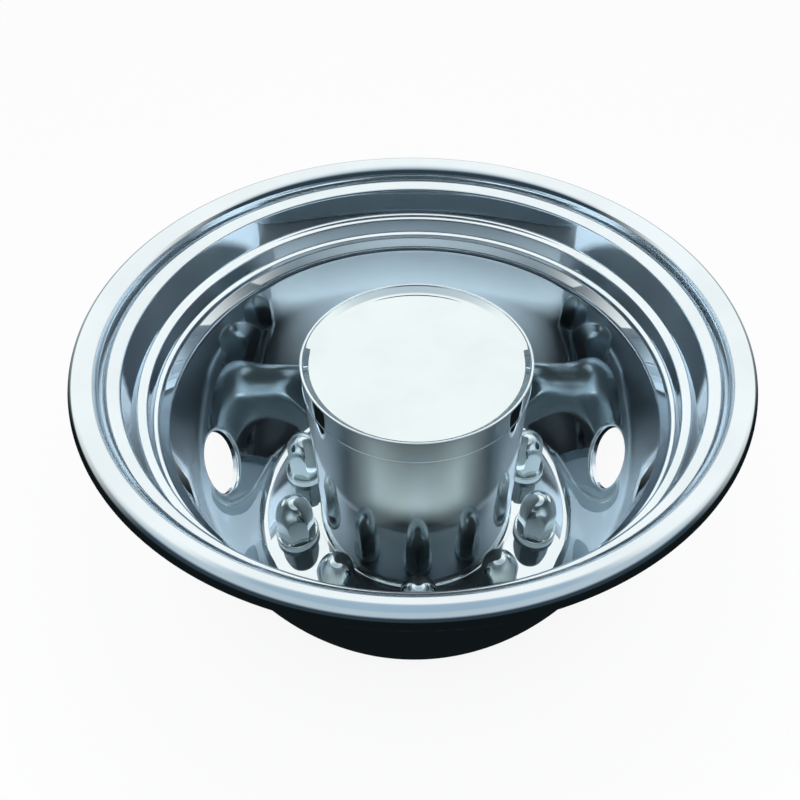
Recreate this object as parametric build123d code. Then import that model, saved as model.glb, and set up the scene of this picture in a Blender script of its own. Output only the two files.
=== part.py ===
from build123d import *
import cmath
import math
import os

# Wheel simulator: the bright stainless liner that covers the outer face of a dual rear truck wheel.
# The wheel's axle is Z and the dish opens upward. Lengths are millimetres.
# The back of the flange, which lies against the wheel disc, is at Z = 0.

# Sheet thicknesses
LINER_SHEET = 1.2
HUB_SHEET = 1.0
COVER_SHEET = 1.2

# Wheel pattern
LUG_COUNT = 10
LUG_CIRCLE_RADIUS = 142.875
HAND_HOLE_COUNT = 2

# Nut covers, heights above the flange face
HEX_FLATS = 36.6
HEX_HEIGHT = 34.0
COVER_TOP = 66.0
COLLAR_OVERHANG = 2.87
COLLAR_HEIGHT = 9.0
COLLAR_SEAT = 3.3
DOME_SIDES = 12
DOME_ANGLES = (30.0, 55.0, 75.0)

# Flange: the flat between the hub and the bowl
FOOT_GAP = 2.4
FOOT_WIDTH = 5.5
FLANGE_MARGIN = 14.6

# Bowl, an arc from the flange's edge up to the bead
BOWL_CURVE = 490.0
BOWL_STEPS = 3

# Stepped wall on the bright face, each stretch as its run inward and its drop
LIP_FLANK = (3.2, 13.1)
SHOULDER_TOP = (8.0, 4.6)
UPPER_WALL = (8.0, 32.0)
STEP_LEDGE = (5.8, 2.8)
LOWER_WALL = (0.8, 18.0)
RIB_LEDGE = (3.6, 1.6)
RIB_FACE = (0.3, 4.6)
BEAD_UPPER = (6.7, 10.5)
BEAD_LOWER = (-3.7, 5.0)

# Rolled lip, three quarters of a turn
LIP_RADIUS = 290.0
LIP_TOP = 301.7
LIP_ROLL = 10.0
LIP_STEPS = 6

# Hand holes in the bowl, with edges turned back
HAND_HOLE_RADIUS = 35.0
HAND_HOLE_HEIGHT = 77.0
HAND_HOLE_COLLAR = 8.0

# Hub sleeve and its cap, heights above the flange face
HUB_TOP = 240.0
CAP_SKIRT = 27.0
CAP_CLEARANCE = 0.1
CAP_WELL = 11.0

# Sizes that follow from those
collar_radius = HEX_FLATS / math.sqrt(3) + COLLAR_OVERHANG
lug_hole_radius = collar_radius - COLLAR_SEAT
foot_radius = LUG_CIRCLE_RADIUS - collar_radius - FOOT_GAP
sleeve_outside = foot_radius - FOOT_WIDTH
hub_bore_radius = sleeve_outside - HUB_SHEET
flange_edge_radius = LUG_CIRCLE_RADIUS + collar_radius + FLANGE_MARGIN


def heading(start, end):
    """Direction from one point of a profile to the next, as a complex number of length one."""
    return (end - start) / abs(end - start)


def flat(point):
    """The complex number as a point of a profile."""
    return (point.real, point.imag)


def spun(points):
    """Solid made by turning a closed profile about the axle."""
    return revolve(Plane.XZ * make_face(Polyline(*[flat(point) for point in points], close=True)), Axis.Z)


def spun_sheet(face, thickness):
    """Sheet turned about the axle, with the profile as its bright side and its back on the right."""
    ways = [heading(start, end) for start, end in zip(face, face[1:])]
    back = []
    for point, before, after in zip(face, [ways[0], *ways], [*ways, ways[-1]]):
        half_turn = cmath.phase(after / before) / 2
        back.append(point - 1j * heading(0, before + after) * thickness / math.cos(half_turn))
    return spun(face + back[::-1])


def around(count, radius, first_angle):
    """Places spread evenly about the axle, each turned to face outward."""
    return [Rot(Z=first_angle + 360 * index / count) * Pos(X=radius) for index in range(count)]


# Profile of the wheel liner, as radius and height: the lip first, from its inner side over the top
flange_face = 1j * LINER_SHEET
lip_centre = flange_face + complex(LIP_RADIUS - LIP_ROLL, LIP_TOP - LIP_ROLL)
lip_turn = math.radians(270 / LIP_STEPS)
lip = [lip_centre + cmath.rect(LIP_ROLL, math.pi - step * lip_turn) for step in range(LIP_STEPS + 1)]

# The stepped wall, followed down from the lip
wall = [lip[0]]
for run, drop in (
    LIP_FLANK,
    SHOULDER_TOP,
    UPPER_WALL,
    STEP_LEDGE,
    LOWER_WALL,
    RIB_LEDGE,
    RIB_FACE,
    BEAD_UPPER,
    BEAD_LOWER,
):
    wall.append(wall[-1] - complex(run, drop))

# The bowl, an arc that bulges outward between the flange's edge and the foot of the wall
bowl_start, bowl_end = flange_edge_radius + flange_face, wall[-1]
bowl_half = math.asin(abs(bowl_end - bowl_start) / 2 / BOWL_CURVE)
bowl_middle = (bowl_start + bowl_end) / 2
bowl_centre = bowl_middle + 1j * heading(bowl_start, bowl_end) * BOWL_CURVE * math.cos(bowl_half)
bowl = []
for step in range(BOWL_STEPS):
    turn = cmath.rect(1, 2 * bowl_half * step / BOWL_STEPS)
    bowl.append(bowl_centre + (bowl_start - bowl_centre) * turn)

# Wheel liner: one spun sheet from the hub's bore through the bowl and its steps to the rolled lip
dish = [hub_bore_radius + flange_face, *bowl, *wall[:1:-1]]
wheel_liner = spun_sheet([*dish, wall[1], *lip], LINER_SHEET)

# Hand holes: cut square to the bowl's curve, each with a collar turned back behind the sheet
hole_rise = HAND_HOLE_HEIGHT + LINER_SHEET - bowl_centre.imag
hole_radius = bowl_centre.real + math.sqrt(BOWL_CURVE**2 - hole_rise**2)
hole_tilt = math.degrees(math.asin(hole_rise / BOWL_CURVE))
dish_space = spun([*dish, 1j * dish[-1].imag, 1j * dish[0].imag])
hole_depth = 2 * HAND_HOLE_RADIUS
collar_reach = LINER_SHEET + HAND_HOLE_COLLAR
hole_cutter = Cylinder(HAND_HOLE_RADIUS, 2 * hole_depth)
collar_tube = Pos(Z=collar_reach - hole_depth / 2) * Cylinder(HAND_HOLE_RADIUS + LINER_SHEET, hole_depth)
for spot in around(HAND_HOLE_COUNT, 0, 0):
    place = spot * Pos(X=hole_radius, Z=HAND_HOLE_HEIGHT + LINER_SHEET) * Rot(Y=90 - hole_tilt)
    hole_collar = place * collar_tube - dish_space
    wheel_liner = wheel_liner + hole_collar - place * hole_cutter

# Lug holes, spread so that the hand holes lie between two of them
lug_spots = around(LUG_COUNT, LUG_CIRCLE_RADIUS, 180 / LUG_COUNT)
lug_cutter = Cylinder(lug_hole_radius, 4 * LINER_SHEET)
wheel_liner = wheel_liner - [spot * lug_cutter for spot in lug_spots]

# Hub sleeve: a tube over the axle hub, its foot turned out and seated on the flange face
foot_face = flange_face + 1j * HUB_SHEET
sleeve_top = flange_face + 1j * (HUB_TOP - HUB_SHEET)
sleeve_path = [sleeve_outside + sleeve_top, sleeve_outside + foot_face, foot_radius + foot_face]
hub_sleeve = spun_sheet(sleeve_path, HUB_SHEET)

# Hub cap: a pressed lid with a sunk panel, its rim turned down over the sleeve's top
skirt_outside = sleeve_outside + CAP_CLEARANCE + HUB_SHEET
well_radius = hub_bore_radius - CAP_CLEARANCE - HUB_SHEET
rim_height = flange_face + 1j * HUB_TOP
panel_height = rim_height - 1j * CAP_WELL
hub_cap = spun_sheet(
    [
        panel_height,
        well_radius + panel_height,
        well_radius + rim_height,
        skirt_outside + rim_height,
        skirt_outside + rim_height - 1j * CAP_SKIRT,
    ],
    HUB_SHEET,
)


def domed_hexagon(flats, base, shoulder, top):
    """Hexagon prism under a many-sided dome, which cuts the upper ends of its flats to a curve."""
    corner = flats / math.sqrt(3) * 1.002
    dome = extrude(Pos(Z=base) * RegularPolygon(corner, DOME_SIDES), shoulder - base)
    radius, height = corner, shoulder
    rise = (top - shoulder) / math.sin(math.radians(DOME_ANGLES[-1]))
    for angle in DOME_ANGLES:
        next_radius = corner * math.cos(math.radians(angle))
        next_height = shoulder + rise * math.sin(math.radians(angle))
        inset = (radius - next_radius) * math.cos(math.pi / DOME_SIDES)
        taper = math.degrees(math.atan2(inset, next_height - height))
        tier = Pos(Z=height) * RegularPolygon(radius, DOME_SIDES)
        dome += extrude(tier, next_height - height, taper=taper)
        radius, height = next_radius, next_height
    prism = extrude(Pos(Z=base) * RegularPolygon(flats / 2, 6, major_radius=False), top - base)
    return prism & dome


# Nut cover: a hollow domed hexagon on a round collar that is seated around the lug hole
cover_base = LINER_SHEET
cover_shoulder = LINER_SHEET + HEX_HEIGHT
cover_top = LINER_SHEET + COVER_TOP
cover_collar = Pos(Z=cover_base + COLLAR_HEIGHT / 2) * Cylinder(collar_radius, COLLAR_HEIGHT)
cover_body = domed_hexagon(HEX_FLATS, cover_base, cover_shoulder, cover_top)
cover_cavity = domed_hexagon(
    HEX_FLATS - 2 * COVER_SHEET, cover_base - COVER_SHEET, cover_shoulder, cover_top - COVER_SHEET
)
nut_cover = cover_collar + cover_body - cover_cavity

# One file for each piece
pieces = {"wheel_liner": wheel_liner, "hub_sleeve": hub_sleeve, "hub_cap": hub_cap}
for number, spot in enumerate(lug_spots, start=1):
    pieces[f"nut_cover_{number:02d}"] = spot * nut_cover

os.makedirs("parts", exist_ok=True)
for name, piece in pieces.items():
    export_step(piece, f"parts/{name}.step")
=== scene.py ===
import cmath
import math

import bpy
from mathutils import Matrix, Quaternion, Vector


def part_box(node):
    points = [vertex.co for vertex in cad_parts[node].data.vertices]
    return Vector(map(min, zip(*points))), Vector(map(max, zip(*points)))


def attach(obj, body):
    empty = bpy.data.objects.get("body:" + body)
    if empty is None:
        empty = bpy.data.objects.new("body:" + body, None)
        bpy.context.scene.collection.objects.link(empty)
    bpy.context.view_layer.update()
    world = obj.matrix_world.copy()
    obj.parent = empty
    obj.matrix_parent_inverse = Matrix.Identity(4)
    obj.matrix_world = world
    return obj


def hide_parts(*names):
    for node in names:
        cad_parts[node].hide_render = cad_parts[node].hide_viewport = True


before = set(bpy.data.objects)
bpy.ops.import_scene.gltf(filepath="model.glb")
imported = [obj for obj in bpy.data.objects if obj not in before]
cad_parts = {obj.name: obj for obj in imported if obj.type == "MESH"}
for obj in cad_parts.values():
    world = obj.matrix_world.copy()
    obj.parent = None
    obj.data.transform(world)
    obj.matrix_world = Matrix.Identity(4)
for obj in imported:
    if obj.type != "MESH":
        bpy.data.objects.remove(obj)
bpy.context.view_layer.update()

MM = 0.001

# Sizes read from the frame, in metres
liner_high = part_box("wheel_liner")[1]
sleeve_low, sleeve_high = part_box("hub_sleeve")
cap_low, cap_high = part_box("hub_cap")
COVERS = [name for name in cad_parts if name.startswith("nut_cover")]

FLANGE_FACE = sleeve_low[2]
LIP_RADIUS = liner_high[0]
LIP_TOP = liner_high[2]
FOOT_RADIUS = sleeve_high[0]
CAP_RADIUS = cap_high[0]
CAP_FOOT = cap_low[2]
HUB_TOP = cap_high[2]

# Thickness of each sheet
LINER_SHEET = 1.2 * MM
SLEEVE_SHEET = 1.0 * MM
CAP_SHEET = 0.5 * MM
COVER_SHEET = 1.2 * MM

# Profile of the liner's bright face: each stretch of the stepped wall as its run inward and its drop
LIP_ROLL = 10.0 * MM
LIP_STEPS = 18
LIP_TAIL = 1.0 * MM
LIP_ACROSS = 13.6 * MM
LIP_DROP = 20.0 * MM
GROOVE = complex(23.2, 23.1) * MM
STEPPED_WALL = {
    "shoulder top": complex(9.5, 4.6) * MM,
    "upper wall": complex(5.0, 32.0) * MM,
    "step ledge": complex(7.3, 2.8) * MM,
    "lower wall": complex(0.8, 18.0) * MM,
    "rib ledge": complex(3.6, 1.6) * MM,
    "rib face": complex(0.3, 4.6) * MM,
    "bead, upper": complex(6.7, 10.5) * MM,
    "bead, lower": complex(-3.7, 5.0) * MM,
}
WALL_CORNERS = [radius * MM for radius in (10.0, 3.0, 2.3, 2.3, 2.3, 3.0, 3.0, 5.0, 2.6)]
FLANGE_EDGE = 181.5 * MM
FLANGE_CORNER = 12.0 * MM
BOWL_LEAN_LOW = math.radians(28.6)
BOWL_LEAN_HIGH = math.radians(6.0)
BOWL_CURVE = 330.0 * MM

# Fineness of the meshes
TURNS = 240
ARC_DEGREES = 8.0
ARC_SPACING = 4.0 * MM
ARC_LEAST = 4
EDGE_SUPPORT = 0.8 * MM
WELD = 0.01 * MM
SMOOTH_ANGLE = math.radians(40)

# Slack of the tests that pick faces and vertices
LEVEL_SLACK = 0.3 * MM
LEVEL_NORMAL = 0.9
CUT_SLACK = 1.0002
RIM_SLACK = 1.01
COLLAR_SLACK = 0.1 * MM

# Hand holes and lug holes
HAND_HOLE_RADIUS = 35.0 * MM
HAND_HOLE_HEIGHT = 77.0 * MM
HAND_HOLE_BEND = 4.0 * MM
HAND_HOLE_COLLAR = 8.0 * MM
HAND_HOLE_DEPTH = 20.0 * MM
LUG_HOLE_RADIUS = 20.7 * MM
LUG_HOLE_DEPTH = 4.0 * MM
HOLE_SIDES = 96
CUTTER_TURN = math.radians(1.3)
BEND_STEPS = 6

# Hub sleeve and cap
FOOT_WIDTH = 5.5 * MM
FOOT_BEND = 3.0 * MM
CAP_CLEARANCE = 0.1 * MM
PANEL_DEPTH = 8.0 * MM
WELL_SLOPE = 6.0 * MM
WELL_WALL = 1.6 * MM
BEAD_REACH = 0.55 * MM
BEAD_HEIGHT = 2.4 * MM
BEAD_SHOULDER = 0.5 * MM
CAP_CORNERS = [radius * MM for radius in (4.0, 1.2, 1.3, 1.2, 0.3, 0.3)]

# Nut covers
HEX_FLATS = 36.6 * MM
HEX_HEIGHT = 34.0 * MM
HEX_STEPS = 8
COVER_HEIGHT = 66.0 * MM
COVER_TURNS = 144
DOME_STEPS = 24
COLLAR_RADIUS = 24.0 * MM
COLLAR_HEIGHT = 9.0 * MM
COLLAR_CORNER = 1.6 * MM
HEX_FOOT_CORNER = 0.7 * MM
EDGE_SOFTNESS = 0.8 * MM

# Background and floor, as the camera sees them
WHITE = (0.98, 0.98, 0.98, 1)
FLOOR_PALE = (0.96, 0.96, 0.96, 1)
SHADOW_SHARE = 0.12
FLOOR_RADIUS = 6.0
FLOOR_SIDES = 96
FLOOR_HEIGHT = -1.0 * MM

# Floor seen in the steel, by bearing from the far side in degrees
FLOOR_FAR = (0.42, 0.48, 0.50, 1)
FLOOR_NEAR = (0.006, 0.009, 0.010, 1)
FLOOR_BEARINGS = (45, 80)

# Studio seen in the steel, by bearing from the far side and by height over the floor, in degrees
FAR_SKY = (1.02, 1.05, 1.04, 1)
NEAR_SKY = (0.50, 0.60, 0.66, 1)
NEAR_LOW = (0.03, 0.05, 0.07, 1)
NEAR_RISE = (18, 36)
ROOF = (0.37, 0.50, 0.61, 1)
FAR_GROUND = (0.05, 0.08, 0.085, 1)
NEAR_GROUND = (0.02, 0.03, 0.03, 1)
FAR_BEARINGS = (62, 108)
ROOF_RISE = (55, 70)
SKYLINE = (-4, 8)

# Studio seen by steel in other steel: lights at both sides of the camera, and the far side's own
SIDE_LIGHT = (2.5, 2.8, 3.0, 1)
SIDE_DARK = (0.03, 0.045, 0.05, 1)
SIDE_FAR = (0.9, 1.0, 1.1, 1)
SIDE_BEARINGS = (75, 95, 145, 165)
SIDE_RISE = (4, 10, 36, 52)
BACK_BEARINGS = (30, 60)
BACK_RISE = (38, 46, 66, 80)

# Steel of the liner, the hub and the covers
LINER_TINT = (0.82, 0.87, 0.90)
HUB_TINT = (0.82, 0.87, 0.88)
COVER_TINT = (0.80, 0.87, 0.86)
LINER_ROUGHNESS = 0.03
FINE_ROUGHNESS = 0.02

# Steel seen in other steel: its added roughness, its colour darkened as painted shade, and the share of
# light that it scatters
SOFT_AGAIN = 0.22
SOFT_HUB = 0.3
SHADE_PAINTED_IN_REFLECTION = (0.57, 0.62, 0.66)
SCATTER_AGAIN = 0.38
SCATTER_HUB = 0.9
SCATTER_CAP = 0.1
SCATTER_COVER = 0.2

# Faint waves and haze of the polished sheets
WAVE_HEIGHT = 0.04 * MM
WAVE_SCALE = 8.0
WAVE_DETAIL = 1.0
HAZE_SCALE = 14.0
HAZE_DETAIL = 3.0
HAZE_BASE = 0.5
HAZE_RANGE = (0.3, 0.7)
HAZE_SHADES = (0.97, 1.03)

# White card over the far side, which fades towards the near side
CARD_PLACE = (0, 0.35, 0.6)
CARD_SIZE = (1.6, 1.2, 1.0)
CARD_FADE = (-0.25, 0.15)

# Ray depth between a first reflection and later ones, which is one higher in the world than on a surface
CARD_DEPTH = 1.5
STUDIO_DEPTH = 2.5

# Lamps: name, place, target, watts, angle of a spot's cone in degrees (0 for a soft lamp) and colour
COOL_WHITE = (0.86, 0.95, 1.0)
GREEN_WHITE = (0.95, 1.0, 0.93)
LAMPS = [
    ("left_lamp", (-0.8, -0.5, 0.7), (0, 0, 0.2), 3.0, 0, COOL_WHITE),
    ("right_lamp", (0.8, -0.5, 0.7), (0, 0, 0.2), 3.0, 0, COOL_WHITE),
    ("back_spot", (0, 0.75, 0.95), (0, 0.11, -0.06), 165.0, 12, COOL_WHITE),
    ("left_spot", (-0.3, -0.1, 1.2), (-0.15, 0.01, 0), 150.0, 9, COOL_WHITE),
    ("right_spot", (0.3, -0.1, 1.2), (0.15, 0.01, 0), 150.0, 9, COOL_WHITE),
    ("left_wall_spot", (0.5, -0.6, 0.9), (-0.215, 0.075, 0.16), 300.0, 8, COOL_WHITE),
    ("right_wall_spot", (-0.5, -0.6, 0.9), (0.215, 0.075, 0.16), 300.0, 8, COOL_WHITE),
    ("front_spot", (0, 0.25, 1.25), (0, -0.175, 0), 220.0, 7, GREEN_WHITE),
    ("front_left_spot", (0.05, 0.25, 1.25), (-0.105, -0.18, 0.05), 170.0, 5.5, GREEN_WHITE),
    ("front_right_spot", (-0.05, 0.25, 1.25), (0.105, -0.18, 0.05), 170.0, 5.5, GREEN_WHITE),
]
LAMP_SIZE = 1.0
SPOT_SIZE = 0.05
SPOT_BLEND = 0.3

# Photograph's camera, as its lens and place over the frame
SENSOR_WIDTH = 36.0
PHOTO_SIDE = 800
FOCAL_PIXELS = 652.06
CENTRE_PIXEL = (432.59, 346.35)
CAMERA_PLACE = Vector((-8.68, -458.19, 665.07)) * MM
CAMERA_YAW = math.radians(2.89)
CAMERA_PITCH = math.radians(42.16)
CAMERA_ROLL = math.radians(1.58)


def heading(start, end):
    """Direction between two points of a profile, as a complex number of length one."""
    return (end - start) / abs(end - start)


def rounded(corners, radii):
    """Points of a profile with its corners rounded, and a point beside each end of a straight run."""
    arcs = [[corners[0]]]
    for before, corner, after, radius in zip(corners, corners[1:], corners[2:], radii):
        way_in, way_out = heading(before, corner), heading(corner, after)
        turn = cmath.phase(way_out / way_in)
        start = corner - way_in * radius * math.tan(abs(turn) / 2)
        centre = start + math.copysign(1.0, turn) * 1j * way_in * radius
        by_angle = round(math.degrees(abs(turn)) / ARC_DEGREES)
        by_length = round(abs(turn) * radius / ARC_SPACING)
        count = max(ARC_LEAST, by_angle, by_length)
        spokes = [(start - centre) * cmath.rect(1, turn * index / count) for index in range(count + 1)]
        arcs.append([centre + spoke for spoke in spokes])
    arcs.append([corners[-1]])
    points = list(arcs[0])
    for before, after in zip(arcs, arcs[1:]):
        if abs(after[0] - before[-1]) > 3 * EDGE_SUPPORT:
            reach = heading(before[-1], after[0]) * EDGE_SUPPORT
            points += [before[-1] + reach, after[0] - reach]
        points += after
    return points


def lathe(name, points, turns):
    """Sheet made by drawing a vertex out along a profile and spinning it about the axle."""
    bpy.ops.object.select_all(action="DESELECT")
    bpy.ops.mesh.primitive_plane_add(size=0.01)
    piece = bpy.context.object
    piece.name = piece.data.name = name
    bpy.ops.object.mode_set(mode="EDIT")
    bpy.ops.mesh.merge(type="CENTER")
    bpy.ops.transform.translate(value=(points[0].real, 0, points[0].imag))
    for start, end in zip(points, points[1:]):
        step = end - start
        bpy.ops.mesh.extrude_region_move(TRANSFORM_OT_translate={"value": (step.real, 0, step.imag)})
    bpy.ops.mesh.select_all(action="SELECT")
    bpy.ops.mesh.spin(steps=turns, angle=2 * math.pi, center=(0, 0, 0), axis=(0, 0, 1))
    bpy.ops.mesh.select_all(action="SELECT")
    bpy.ops.mesh.remove_doubles(threshold=WELD)
    bpy.ops.mesh.normals_make_consistent(inside=False)
    bpy.ops.object.mode_set(mode="OBJECT")
    return piece


def face_up(piece, height):
    """Turns a sheet's faces over if those that lie flat at a height look down."""
    level = [face for face in piece.data.polygons if abs(face.center.z - height) < LEVEL_SLACK]
    flats = [face for face in level if abs(face.normal.z) > LEVEL_NORMAL]
    if flats and flats[0].normal.z < 0:
        bpy.ops.object.mode_set(mode="EDIT")
        bpy.ops.mesh.select_all(action="SELECT")
        bpy.ops.mesh.flip_normals()
        bpy.ops.object.mode_set(mode="OBJECT")


def near_axis(place, centre, axis, radius, depth):
    """Whether a place lies inside a cylinder about an axis."""
    offset = Vector(place) - centre
    along = offset.dot(axis)
    return abs(along) < depth and (offset - along * axis).length < radius


def select_only(piece, chosen):
    """Selects the vertices for which a test holds, and the edges and faces between them, in edit mode."""
    bpy.ops.object.mode_set(mode="OBJECT")
    mesh = piece.data
    for vertex in mesh.vertices:
        vertex.select = chosen(vertex)
    for part in (*mesh.edges, *mesh.polygons):
        part.select = all(mesh.vertices[index].select for index in part.vertices)
    bpy.ops.object.mode_set(mode="EDIT")


def cut_round(piece, holes):
    """Cuts round holes through a sheet, each given by its centre, axis, radius and depth."""
    bpy.context.view_layer.objects.active = piece
    sheet_count = len(piece.data.vertices)
    bpy.ops.object.mode_set(mode="EDIT")
    bpy.ops.mesh.select_mode(type="VERT")
    bpy.ops.mesh.select_all(action="DESELECT")
    for centre, axis, radius, depth in holes:
        turn = axis.to_track_quat("Z", "Y") @ Quaternion((0, 0, 1), CUTTER_TURN)
        bpy.ops.mesh.primitive_cylinder_add(
            vertices=HOLE_SIDES,
            radius=radius,
            depth=2 * depth,
            end_fill_type="NOTHING",
            location=centre,
            rotation=turn.to_euler(),
        )
    select_only(piece, lambda vertex: vertex.index >= sheet_count)
    bpy.ops.mesh.intersect(mode="SELECT_UNSELECT", separate_mode="CUT", solver="EXACT")
    inside = []
    for centre, axis, radius, depth in holes:
        inside.append((centre, axis, CUT_SLACK * radius, RIM_SLACK * depth))
    select_only(piece, lambda vertex: any(near_axis(vertex.co, *hole) for hole in inside))
    bpy.ops.mesh.select_mode(type="FACE")
    bpy.ops.mesh.delete(type="FACE")
    bpy.ops.mesh.select_mode(type="VERT")
    bpy.ops.mesh.select_all(action="SELECT")
    bpy.ops.mesh.delete_loose(use_verts=True, use_edges=True, use_faces=False)
    bpy.ops.mesh.select_all(action="SELECT")
    bpy.ops.mesh.remove_doubles(threshold=WELD)
    bpy.ops.object.mode_set(mode="OBJECT")


def select_rim(piece, centre, axis, radius, depth):
    """Selects the open edge of a hole, in edit mode."""
    bpy.ops.object.mode_set(mode="EDIT")
    bpy.ops.mesh.select_all(action="DESELECT")
    bpy.ops.mesh.select_non_manifold(use_wire=False, use_multi_face=False, use_verts=False)
    bpy.ops.object.mode_set(mode="OBJECT")
    open_edge = [vertex for vertex in piece.data.vertices if vertex.select]
    space = (centre, axis, RIM_SLACK * radius, depth)
    rim = {vertex.index for vertex in open_edge if near_axis(vertex.co, *space)}
    select_only(piece, lambda vertex: vertex.index in rim)


def turn_back(centre, axis, radius, bend, collar):
    """Draws the selected edge of a hole through a bend into a collar behind the sheet."""
    reach, depth = radius + bend, 0.0
    for step in range(1, BEND_STEPS + 1):
        angle = math.pi / 2 * step / BEND_STEPS
        next_reach = radius + bend * (1 - math.sin(angle))
        next_depth = bend * (1 - math.cos(angle))
        bpy.ops.mesh.extrude_edges_move(TRANSFORM_OT_translate={"value": axis * (next_depth - depth)})
        bpy.ops.transform.resize(value=[next_reach / reach] * 3, center_override=centre + axis * next_depth)
        reach, depth = next_reach, next_depth
    bpy.ops.mesh.extrude_edges_move(TRANSFORM_OT_translate={"value": axis * (collar - depth)})
    bpy.ops.object.mode_set(mode="OBJECT")


def thicken(piece, thickness):
    """Gives a sheet its thickness behind its bright face, and smooth shading up to its edges."""
    bpy.context.view_layer.objects.active = piece
    bpy.ops.object.modifier_add(type="SOLIDIFY")
    modifier = piece.modifiers[-1]
    modifier.thickness = thickness
    modifier.offset = -1
    modifier.use_even_offset = True
    bpy.ops.object.modifier_apply(modifier=modifier.name)
    bpy.ops.object.shade_smooth_by_angle(angle=SMOOTH_ANGLE)


class Shade:
    """A socket of a node tree, whose sums and products with numbers or sockets add Math nodes."""

    def __init__(self, tree, socket):
        self.tree = tree
        self.socket = socket

    def math(self, operation, *values):
        """Math node of one or two values."""
        node = add_node(self.tree, "ShaderNodeMath", {"operation": operation}, dict(enumerate(values)))
        return Shade(self.tree, node.outputs[0])

    def ease(self, low, high):
        """Smooth rise from 0 to 1 between two values of this socket."""
        node = add_node(
            self.tree,
            "ShaderNodeMapRange",
            {"interpolation_type": "SMOOTHSTEP"},
            {"Value": self, "From Min": low, "From Max": high},
        )
        return Shade(self.tree, node.outputs["Result"])

    def blend(self, factor, first, second):
        """Mix of two colours."""
        node = add_node(self.tree, "ShaderNodeMix", {"data_type": "RGBA"}, {0: factor, 6: first, 7: second})
        return Shade(self.tree, node.outputs[2])

    def __add__(self, other):
        return self.math("ADD", self, other)

    def __radd__(self, other):
        return self.math("ADD", other, self)

    def __sub__(self, other):
        return self.math("SUBTRACT", self, other)

    def __rsub__(self, other):
        return self.math("SUBTRACT", other, self)

    def __mul__(self, other):
        return self.math("MULTIPLY", self, other)

    def __rmul__(self, other):
        return self.math("MULTIPLY", other, self)


def add_node(tree, kind, settings, inputs):
    """Adds a node of any kind, with its settings first and then its sockets' values or links."""
    node = tree.nodes.new(kind)
    for name, value in settings.items():
        setattr(node, name, value)
    for name, value in inputs.items():
        if isinstance(value, Shade):
            tree.links.new(value.socket, node.inputs[name])
        else:
            node.inputs[name].default_value = value
    return node


def shade(tree, kind, inputs):
    """First output of a new node."""
    return Shade(tree, add_node(tree, kind, {}, inputs).outputs[0])


def light_path(tree, output):
    """One output of a new Light Path node."""
    return Shade(tree, add_node(tree, "ShaderNodeLightPath", {}, {}).outputs[output])


def texture_place(tree, output):
    """One output of a new Texture Coordinate node."""
    return Shade(tree, add_node(tree, "ShaderNodeTexCoord", {}, {}).outputs[output])


def split(place):
    """The three parts of a place or a direction."""
    node = add_node(place.tree, "ShaderNodeSeparateXYZ", {}, {"Vector": place})
    return [Shade(place.tree, node.outputs[axis]) for axis in "XYZ"]


def far_bearing(east, north):
    """Bearing from the far side, the same to the left and to the right, in degrees."""
    return east.math("ABSOLUTE", east.math("ARCTAN2", east, north)) * (180 / math.pi)


def bare_tree(owner):
    """Node tree of a material or a world, emptied."""
    owner.use_nodes = True
    owner.node_tree.nodes.clear()
    return owner.node_tree


def polished_steel(name, tint, roughness, softness, scatter):
    """Mirror-polished steel, with faint waves from the pressing and a light haze; darker in other steel by
    painted shade.
    """
    material = bpy.data.materials.new(name)
    material.use_nodes = True
    tree = material.node_tree
    shader = tree.nodes["Principled BSDF"]
    place = texture_place(tree, "Object")
    cloud = shade(tree, "ShaderNodeTexNoise", {"Vector": place, "Scale": HAZE_SCALE, "Detail": HAZE_DETAIL})
    wave = shade(tree, "ShaderNodeTexNoise", {"Vector": place, "Scale": WAVE_SCALE, "Detail": WAVE_DETAIL})
    bump = shade(tree, "ShaderNodeBump", {"Strength": 1.0, "Distance": WAVE_HEIGHT, "Height": wave})
    again = light_path(tree, "Is Glossy Ray")
    dull, pale = [[min(1.0, share * value) for value in tint] for share in HAZE_SHADES]
    # Painted shade: a darker, bluer colour for the steel where other steel reflects it
    painted_shade_tint = [share * value for share, value in zip(SHADE_PAINTED_IN_REFLECTION, tint)]
    direct = cloud.blend(cloud.ease(*HAZE_RANGE), (*dull, 1.0), (*pale, 1.0))
    colour = again.blend(again, direct, (*painted_shade_tint, 1.0))
    gloss = cloud * roughness + roughness * HAZE_BASE + again * softness
    mirror = 1 - again * scatter
    tree.links.new(mirror.socket, shader.inputs["Metallic"])
    tree.links.new(colour.socket, shader.inputs["Base Color"])
    tree.links.new(gloss.socket, shader.inputs["Roughness"])
    tree.links.new(bump.socket, shader.inputs["Normal"])
    return material


def middle_of(node):
    """Middle of a node's box."""
    low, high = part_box(node)
    return (Vector(low) + Vector(high)) / 2


def dress(piece, material, slot, *nodes):
    """Gives a piece its material and its place in the frame."""
    piece.data.materials.clear()
    piece.data.materials.append(material)
    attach(piece, "root")
    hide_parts(*nodes)


steel = polished_steel("polished stainless", LINER_TINT, LINER_ROUGHNESS, SOFT_AGAIN, SCATTER_AGAIN)
hub_steel = polished_steel("hub stainless", HUB_TINT, FINE_ROUGHNESS, SOFT_HUB, SCATTER_HUB)
cap_steel = polished_steel("cap stainless", HUB_TINT, FINE_ROUGHNESS, SOFT_AGAIN, SCATTER_CAP)
chrome = polished_steel("bright chrome", COVER_TINT, FINE_ROUGHNESS, SOFT_AGAIN, SCATTER_COVER)

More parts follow.
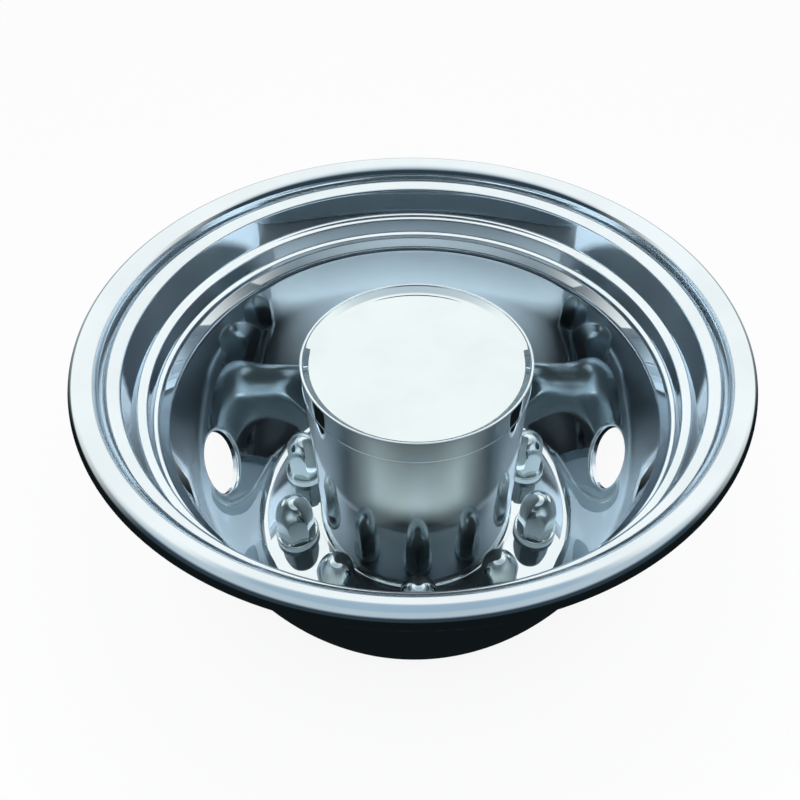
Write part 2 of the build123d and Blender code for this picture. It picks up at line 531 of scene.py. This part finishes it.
# Wheel liner
groove = complex(LIP_RADIUS, LIP_TOP) - GROOVE
wall = [groove]
for stretch in STEPPED_WALL.values():
    wall.append(wall[-1] - stretch)
flange_edge = complex(FLANGE_EDGE, FLANGE_FACE)
low_way = 1j * cmath.rect(1, -BOWL_LEAN_LOW)
high_way = 1j * cmath.rect(1, -BOWL_LEAN_HIGH)
span = wall[-1] - flange_edge
reach = (span.conjugate() * high_way).imag / (low_way.conjugate() * high_way).imag
bowl_knee = flange_edge + reach * low_way
sleeve_radius = FOOT_RADIUS - FOOT_WIDTH
bore_radius = sleeve_radius - SLEEVE_SHEET
lip_side = complex(LIP_RADIUS - LIP_ROLL - LIP_ACROSS, LIP_TOP - LIP_DROP)
dish_corners = [complex(bore_radius, FLANGE_FACE), flange_edge, bowl_knee, *wall[::-1], lip_side]
dish_radii = [FLANGE_CORNER, BOWL_CURVE, *WALL_CORNERS]
lip_path = []
for index in range(1, LIP_STEPS + 1):
    angle = math.pi / 2 * index / LIP_STEPS
    lip_path.append(lip_side + complex(LIP_ACROSS * (1 - math.cos(angle)), LIP_DROP * math.sin(angle)))
lip_corners = [lip_path[-1]]
for across, drop in ((LIP_ROLL, 0), (LIP_ROLL, 2 * LIP_ROLL), (-LIP_TAIL, 2 * LIP_ROLL)):
    lip_corners.append(complex(LIP_RADIUS - LIP_ROLL + across, LIP_TOP - drop))
liner_path = rounded(dish_corners, dish_radii) + lip_path + rounded(lip_corners, [LIP_ROLL, LIP_ROLL])[1:]
liner = lathe("polished_liner", liner_path, TURNS)
face_up(liner, FLANGE_FACE)
hole_height = FLANGE_FACE + HAND_HOLE_HEIGHT
above = next(point for point in liner_path if point.imag > hole_height)
below = max(liner_path[: liner_path.index(above)], key=lambda point: point.imag)
hole_place = below + (above - below) * (hole_height - below.imag) / (above.imag - below.imag)
hole_way = heading(below, above) / 1j
hand_holes = []
for side in (1, -1):
    centre = Vector((side * hole_place.real, 0, hole_place.imag))
    axis = Vector((side * hole_way.real, 0, hole_way.imag))
    hand_holes.append((centre, axis, HAND_HOLE_RADIUS + HAND_HOLE_BEND, HAND_HOLE_DEPTH))
lug_holes = []
for node in COVERS:
    middle = middle_of(node)
    centre = Vector((middle.x, middle.y, FLANGE_FACE))
    lug_holes.append((centre, Vector((0, 0, 1)), LUG_HOLE_RADIUS, LUG_HOLE_DEPTH))
cut_round(liner, hand_holes + lug_holes)
for hole in hand_holes:
    select_rim(liner, *hole)
    turn_back(hole[0], hole[1], HAND_HOLE_RADIUS, HAND_HOLE_BEND, HAND_HOLE_COLLAR)
thicken(liner, LINER_SHEET)
dress(liner, steel, "liner_steel", "wheel_liner")

# Hub sleeve
foot = FLANGE_FACE + SLEEVE_SHEET
sleeve_corners = [
    complex(sleeve_radius, HUB_TOP - SLEEVE_SHEET),
    complex(sleeve_radius, foot),
    complex(FOOT_RADIUS, foot),
]
sleeve = lathe("polished_sleeve", rounded(sleeve_corners, [FOOT_BEND]), TURNS)
face_up(sleeve, foot)
thicken(sleeve, SLEEVE_SHEET)
dress(sleeve, hub_steel, "hub_steel", "hub_sleeve")

# Hub cap
well_radius = bore_radius - CAP_CLEARANCE - SLEEVE_SHEET
panel = HUB_TOP - PANEL_DEPTH
skirt_radius = CAP_RADIUS - BEAD_REACH
bead_top = CAP_FOOT + BEAD_HEIGHT
cap_corners = [
    complex(0, panel),
    complex(well_radius - WELL_SLOPE, panel),
    complex(well_radius, HUB_TOP - WELL_WALL),
    complex(well_radius, HUB_TOP),
    complex(skirt_radius, HUB_TOP),
    complex(skirt_radius, bead_top + BEAD_SHOULDER),
    complex(CAP_RADIUS, bead_top),
    complex(CAP_RADIUS, CAP_FOOT),
]
cap = lathe("polished_cap", rounded(cap_corners, CAP_CORNERS), TURNS)
face_up(cap, panel)
thicken(cap, CAP_SHEET)
dress(cap, cap_steel, "hub_steel", "hub_cap")

# Nut covers, one made at the axle and copied to each place
hex_corner = HEX_FLATS / math.sqrt(3)
cover_path = rounded(
    [
        complex(COLLAR_RADIUS, 0),
        complex(COLLAR_RADIUS, COLLAR_HEIGHT),
        complex(hex_corner, COLLAR_HEIGHT),
        complex(hex_corner, HEX_HEIGHT),
    ],
    [COLLAR_CORNER, HEX_FOOT_CORNER],
)
flat_height = HEX_HEIGHT - COLLAR_HEIGHT
rungs = [complex(hex_corner, COLLAR_HEIGHT + flat_height * part / HEX_STEPS) for part in range(1, HEX_STEPS)]
cover_path[-1:-1] = [point for point in rungs if point.imag > cover_path[-2].imag]
for index in range(1, DOME_STEPS + 1):
    angle = math.pi / 2 * index / DOME_STEPS
    dome_height = HEX_HEIGHT + (COVER_HEIGHT - HEX_HEIGHT) * math.sin(angle)
    cover_path.append(complex(hex_corner * math.cos(angle), dome_height))
cover = lathe("nut_cover_form", cover_path, COVER_TURNS)
face_up(cover, COLLAR_HEIGHT)
collar_inside = COLLAR_RADIUS - COLLAR_CORNER - COLLAR_SLACK
for vertex in cover.data.vertices:
    radius = math.hypot(vertex.co.x, vertex.co.y)
    if vertex.co.z < COLLAR_HEIGHT - WELD or radius > collar_inside or radius < WELD:
        continue
    angle = math.atan2(vertex.co.y, vertex.co.x)
    off_corner = (angle % (math.pi / 3)) - math.pi / 6
    flat_reach = HEX_FLATS / 2 / math.cos(off_corner)
    gap = (radius - flat_reach) / EDGE_SOFTNESS
    softened = radius - EDGE_SOFTNESS * (math.log1p(math.exp(-abs(gap))) + max(gap, 0))
    vertex.co.x *= softened / radius
    vertex.co.y *= softened / radius
thicken(cover, COVER_SHEET)
for node in COVERS:
    middle = middle_of(node)
    copy = cover.copy()
    copy.data = cover.data.copy()
    copy.name = f"bright_{node}"
    bpy.context.collection.objects.link(copy)
    turn = Matrix.Rotation(math.atan2(middle.y, middle.x), 4, "Z")
    copy.data.transform(Matrix.Translation((middle.x, middle.y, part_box(node)[0][2])) @ turn)
    dress(copy, chrome, "cover_chrome", node)
bpy.data.objects.remove(cover)

# Floor: white with a faint shadow for the camera, but in the steel grey on the far side and dark on the near
bpy.ops.object.select_all(action="DESELECT")
bpy.ops.mesh.primitive_circle_add(
    vertices=FLOOR_SIDES, radius=FLOOR_RADIUS, fill_type="NGON", location=(0, 0, FLOOR_HEIGHT)
)
floor = bpy.context.object
floor.name = "floor"
floor_paint = bpy.data.materials.new("floor")
tree = bare_tree(floor_paint)
east, north = split(texture_place(tree, "Object"))[:2]
bearing = far_bearing(east, north)
image_colour = bearing.blend(bearing.ease(*FLOOR_BEARINGS), FLOOR_FAR, FLOOR_NEAR)
image = shade(tree, "ShaderNodeEmission", {"Color": image_colour})
white = shade(tree, "ShaderNodeEmission", {"Color": WHITE})
shadow = shade(tree, "ShaderNodeBsdfDiffuse", {"Color": FLOOR_PALE})
pale = shade(tree, "ShaderNodeMixShader", {0: SHADOW_SHARE, 1: white, 2: shadow})
surface = shade(tree, "ShaderNodeMixShader", {0: light_path(tree, "Is Camera Ray"), 1: image, 2: pale})
add_node(tree, "ShaderNodeOutputMaterial", {}, {"Surface": surface})
floor.data.materials.append(floor_paint)

# Collection that keeps the spots' light off the floor
spots_pass = bpy.data.collections.new("not lit by spots")
spots_pass.objects.link(floor)
spots_pass.collection_objects[0].light_linking.link_state = "EXCLUDE"

# White card, seen only in steel that the camera sees
bpy.ops.object.select_all(action="DESELECT")
bpy.ops.mesh.primitive_plane_add(size=1.0, location=CARD_PLACE)
card = bpy.context.object
card.name = "card"
bpy.ops.transform.resize(value=CARD_SIZE)
bpy.ops.object.transform_apply(location=True, rotation=True, scale=True)
card.visible_camera = card.visible_diffuse = card.visible_shadow = False
card_paint = bpy.data.materials.new("card")
tree = bare_tree(card_paint)
depth = light_path(tree, "Ray Depth")
north = split(texture_place(tree, "Object"))[1]
glow = shade(tree, "ShaderNodeEmission", {"Color": FAR_SKY})
clear = shade(tree, "ShaderNodeBsdfTransparent", {})
share = north.ease(*CARD_FADE) * depth.math("LESS_THAN", depth, CARD_DEPTH)
surface = shade(tree, "ShaderNodeMixShader", {0: share, 1: clear, 2: glow})
add_node(tree, "ShaderNodeOutputMaterial", {}, {"Surface": surface})
card.data.materials.append(card_paint)

# Studio: plain white for the camera, one room for the steel, and another for steel seen in other steel
world = bpy.data.worlds.new("studio")
bpy.context.scene.world = world
tree = bare_tree(world)
east, north, height = split(texture_place(tree, "Generated"))
bearing = far_bearing(east, north)
rise = height.math("ARCSINE", height) * (180 / math.pi)
near_light = rise.blend(rise.ease(*NEAR_RISE), NEAR_LOW, NEAR_SKY)
side_light = rise.blend(bearing.ease(*FAR_BEARINGS), FAR_SKY, near_light)
sky = rise.blend(rise.ease(*ROOF_RISE), side_light, ROOF)
ground = rise.blend(bearing.ease(*FAR_BEARINGS), FAR_GROUND, NEAR_GROUND)
room = rise.blend(rise.ease(*SKYLINE), ground, sky)
beside = bearing.ease(*SIDE_BEARINGS[:2]) - bearing.ease(*SIDE_BEARINGS[2:])
low = rise.ease(*SIDE_RISE[:2]) - rise.ease(*SIDE_RISE[2:])
behind = 1 - bearing.ease(*BACK_BEARINGS)
lifted = rise.ease(*BACK_RISE[:2]) - rise.ease(*BACK_RISE[2:])
dim = rise.blend(behind * lifted, SIDE_DARK, SIDE_FAR)
side_room = rise.blend(beside * low, dim, SIDE_LIGHT)
depth = light_path(tree, "Ray Depth")
plain = rise.blend(light_path(tree, "Is Glossy Ray"), WHITE, room)
view = rise.blend(depth.math("GREATER_THAN", depth, STUDIO_DEPTH), plain, side_room)
back = shade(tree, "ShaderNodeBackground", {"Color": view})
add_node(tree, "ShaderNodeOutputWorld", {}, {"Surface": back})

# Soft lamps at both sides, and spots whose light falls only on the part
for name, place, target, power, cone, colour in LAMPS:
    lamp = bpy.data.objects.new(name, bpy.data.lights.new(name, "SPOT" if cone else "AREA"))
    bpy.context.collection.objects.link(lamp)
    if cone:
        lamp.data.spot_size = math.radians(cone)
        lamp.data.spot_blend = SPOT_BLEND
        lamp.data.shadow_soft_size = SPOT_SIZE
        lamp.light_linking.receiver_collection = spots_pass
    else:
        lamp.data.size = LAMP_SIZE
    lamp.data.energy = power
    lamp.data.color = colour
    lamp.location = place
    lamp.rotation_euler = (Vector(target) - lamp.location).to_track_quat("-Z", "Y").to_euler()
    lamp.visible_glossy = False
    lamp.visible_camera = False

# Camera
camera = bpy.data.objects.new("photograph_camera", bpy.data.cameras.new("photograph_camera"))
bpy.context.collection.objects.link(camera)
bpy.context.scene.camera = camera
ahead = Vector(
    (
        math.sin(CAMERA_YAW) * math.cos(CAMERA_PITCH),
        math.cos(CAMERA_YAW) * math.cos(CAMERA_PITCH),
        -math.sin(CAMERA_PITCH),
    )
)
level = Vector((math.cos(CAMERA_YAW), -math.sin(CAMERA_YAW), 0))
upward = level.cross(ahead)
across = math.cos(CAMERA_ROLL) * level + math.sin(CAMERA_ROLL) * upward
raised = -math.sin(CAMERA_ROLL) * level + math.cos(CAMERA_ROLL) * upward
axes = Matrix((across, raised, -ahead)).transposed()
camera.matrix_world = Matrix.Translation(CAMERA_PLACE) @ axes.to_4x4()
camera.data.sensor_width = SENSOR_WIDTH
camera.data.lens = FOCAL_PIXELS * SENSOR_WIDTH / PHOTO_SIDE
camera.data.shift_x = 0.5 - CENTRE_PIXEL[0] / PHOTO_SIDE
camera.data.shift_y = CENTRE_PIXEL[1] / PHOTO_SIDE - 0.5

bpy.context.scene.view_settings.view_transform = "Standard"
bpy.context.scene.cycles.glossy_bounces = 5
bpy.context.scene.cycles.diffuse_bounces = 0
